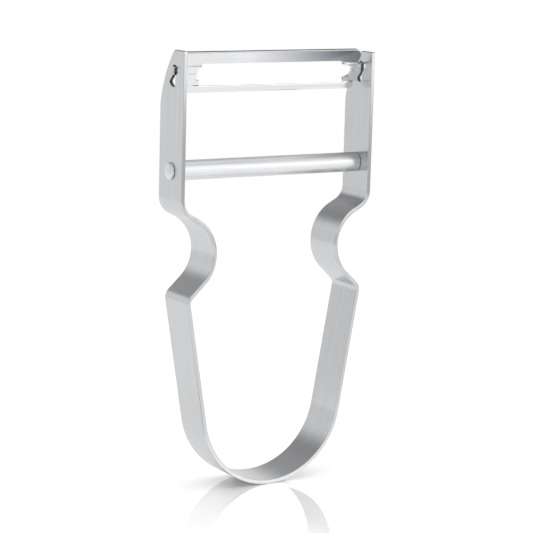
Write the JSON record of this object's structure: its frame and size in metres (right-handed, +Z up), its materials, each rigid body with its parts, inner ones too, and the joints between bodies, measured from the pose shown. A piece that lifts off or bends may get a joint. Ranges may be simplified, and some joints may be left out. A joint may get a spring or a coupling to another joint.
{
  "type": "vegetable peeler",
  "caption": "Swivel peeler: a steel strip bent into a loop handle with finger notches, a slotted blade that rocks between its cheeks, and a riveted cross rod.",
  "frame": {"origin": "under the middle of the loop handle, on the plane the tool stands on, at the middle of the strip's width", "axes": "+Z up the tool from the loop to the blade, X along the blade and the cross rod, +Y towards the food, -Y towards the side where the peel comes out"},
  "size_m": [0.057, 0.0116, 0.1104],
  "materials": {
    "frame_steel": "brushed along the strip",
    "blade_steel": "polished sheet with ground slot edges",
    "rod_steel": "satin, drawn bar"
  },
  "bodies": {
    "handle": {"bent_strip_frame": "frame_steel", "cross_rod": "rod_steel"},
    "blade": {"swivel_blade": "blade_steel"}
  },
  "joints": [
    {"name": "blade_swivel", "type": "hinge", "parent": "handle", "child": "blade", "pos_m": [0, -0.00085, 0.1044], "axis": [1, 0, 0], "range_deg": [-20, 20]}
  ]
}
